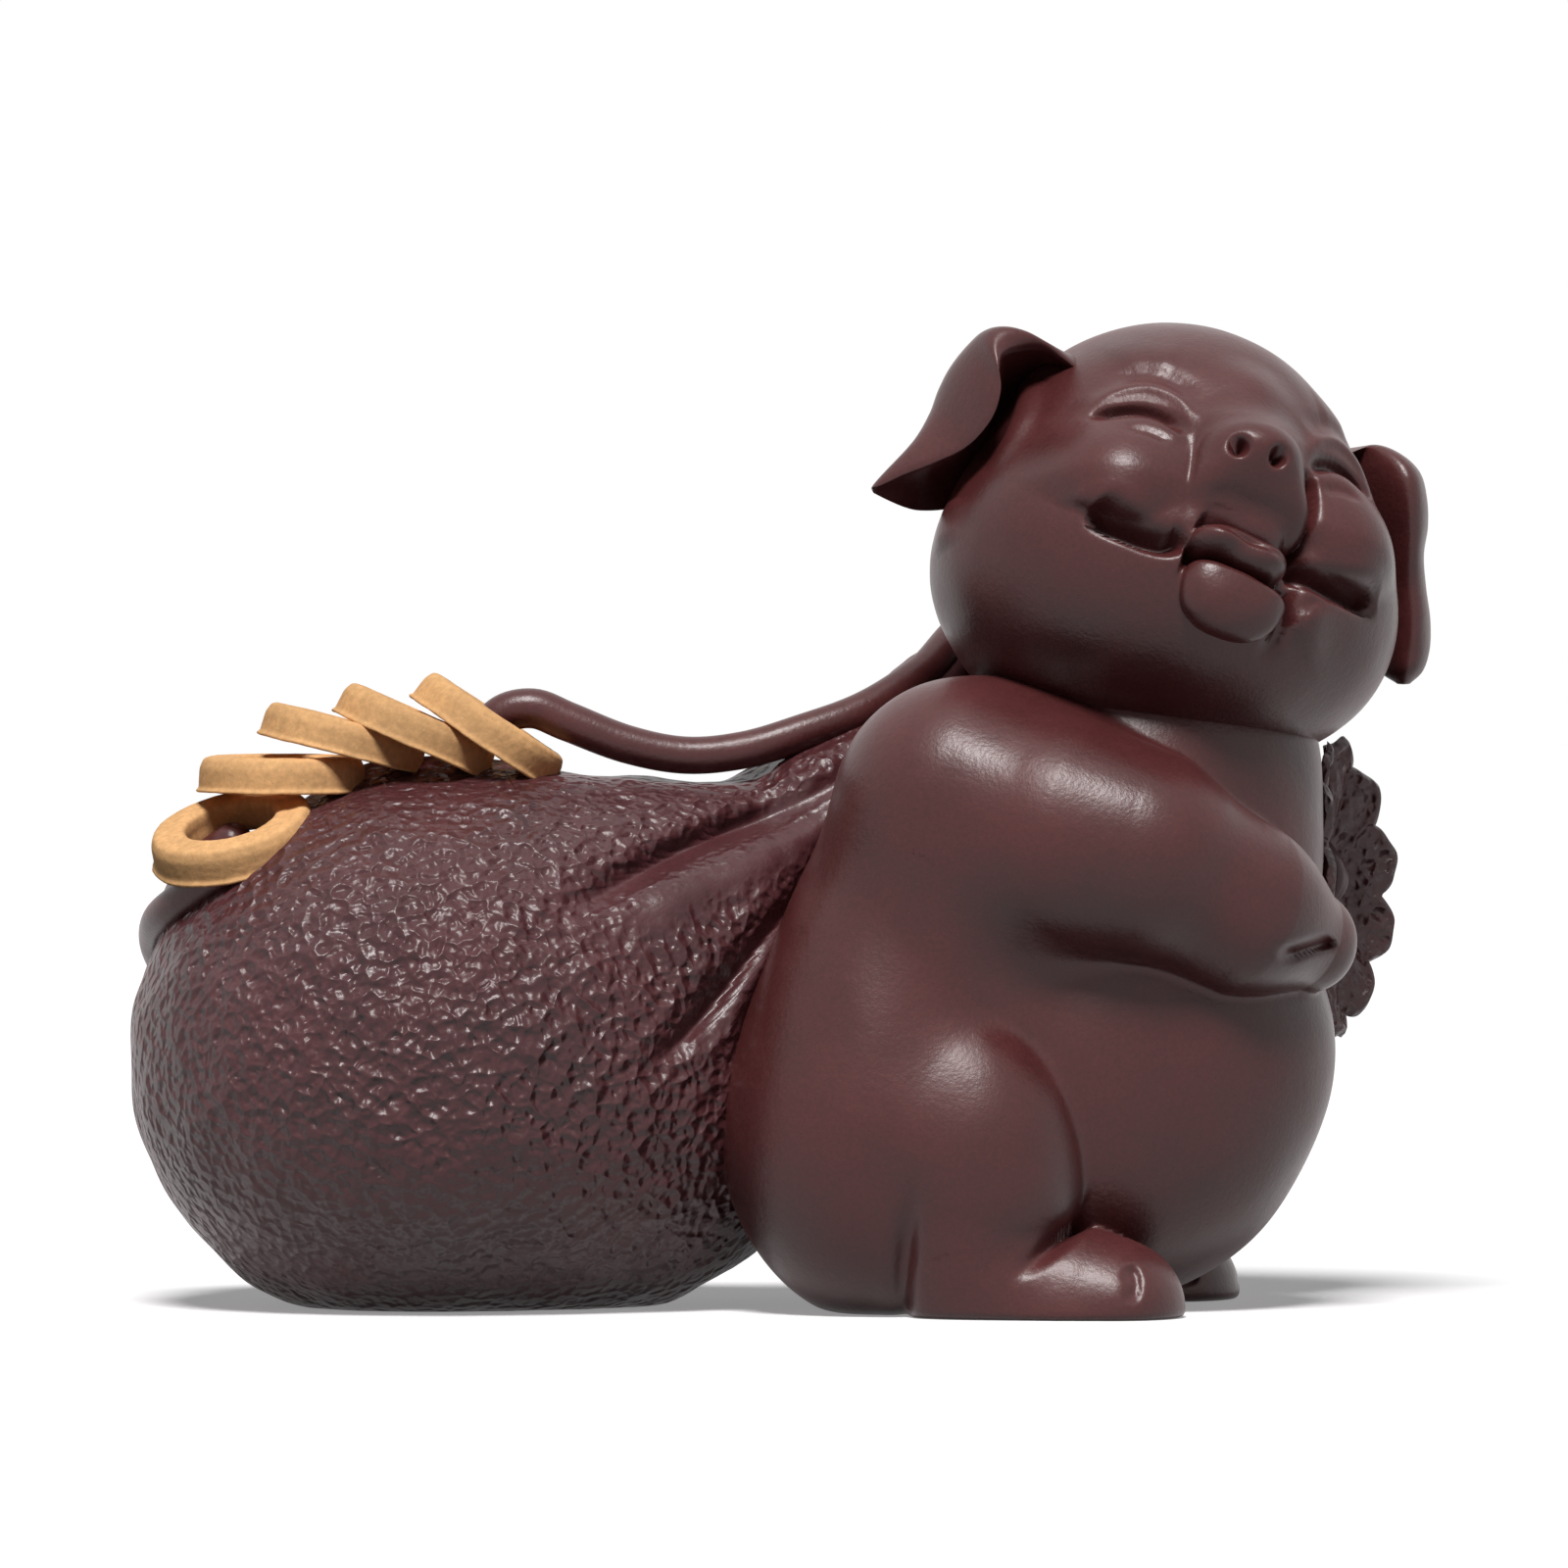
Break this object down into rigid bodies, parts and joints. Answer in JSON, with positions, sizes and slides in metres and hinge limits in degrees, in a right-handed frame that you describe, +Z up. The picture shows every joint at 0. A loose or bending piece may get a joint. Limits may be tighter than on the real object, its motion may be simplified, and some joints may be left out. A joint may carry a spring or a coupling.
{
  "type": "clay pig figurine",
  "caption": "Squatting clay pig with closed smiling eyes, hauling a pitted money sack over its shoulder, with ring coins on the sack.",
  "frame": {"origin": "on the surface that the figure stands on, under the middle of its bounding box", "axes": "+X from the sack towards the pig's snout side, the longest extent; +Z up; -Y the side that the pig smiles towards"},
  "size_m": [0.1204, 0.0582, 0.0907],
  "materials": {
    "purple_clay": "burnished, unglazed",
    "sack_clay": "pitted, unglazed",
    "coin_clay": "matt, unglazed"
  },
  "bodies": {
    "root": {"torso_shell": "purple_clay", "head_shell": "purple_clay", "snout": "purple_clay", "tongue": "purple_clay", "lower_lip": "purple_clay", "right_ear": "purple_clay", "left_ear": "purple_clay", "right_arm": "purple_clay", "left_arm": "purple_clay", "right_haunch": "purple_clay", "left_haunch": "purple_clay", "right_foot": "purple_clay", "left_foot": "purple_clay", "drawstring": "purple_clay", "drawstring_end_near": "purple_clay", "drawstring_end_far": "purple_clay", "sack_shell": "sack_clay", "sack_neck": "sack_clay", "sack_frill": "sack_clay", "coin_1": "coin_clay", "coin_2": "coin_clay", "coin_3": "coin_clay", "coin_4": "coin_clay", "coin_5": "coin_clay"}
  },
  "joints": []
}
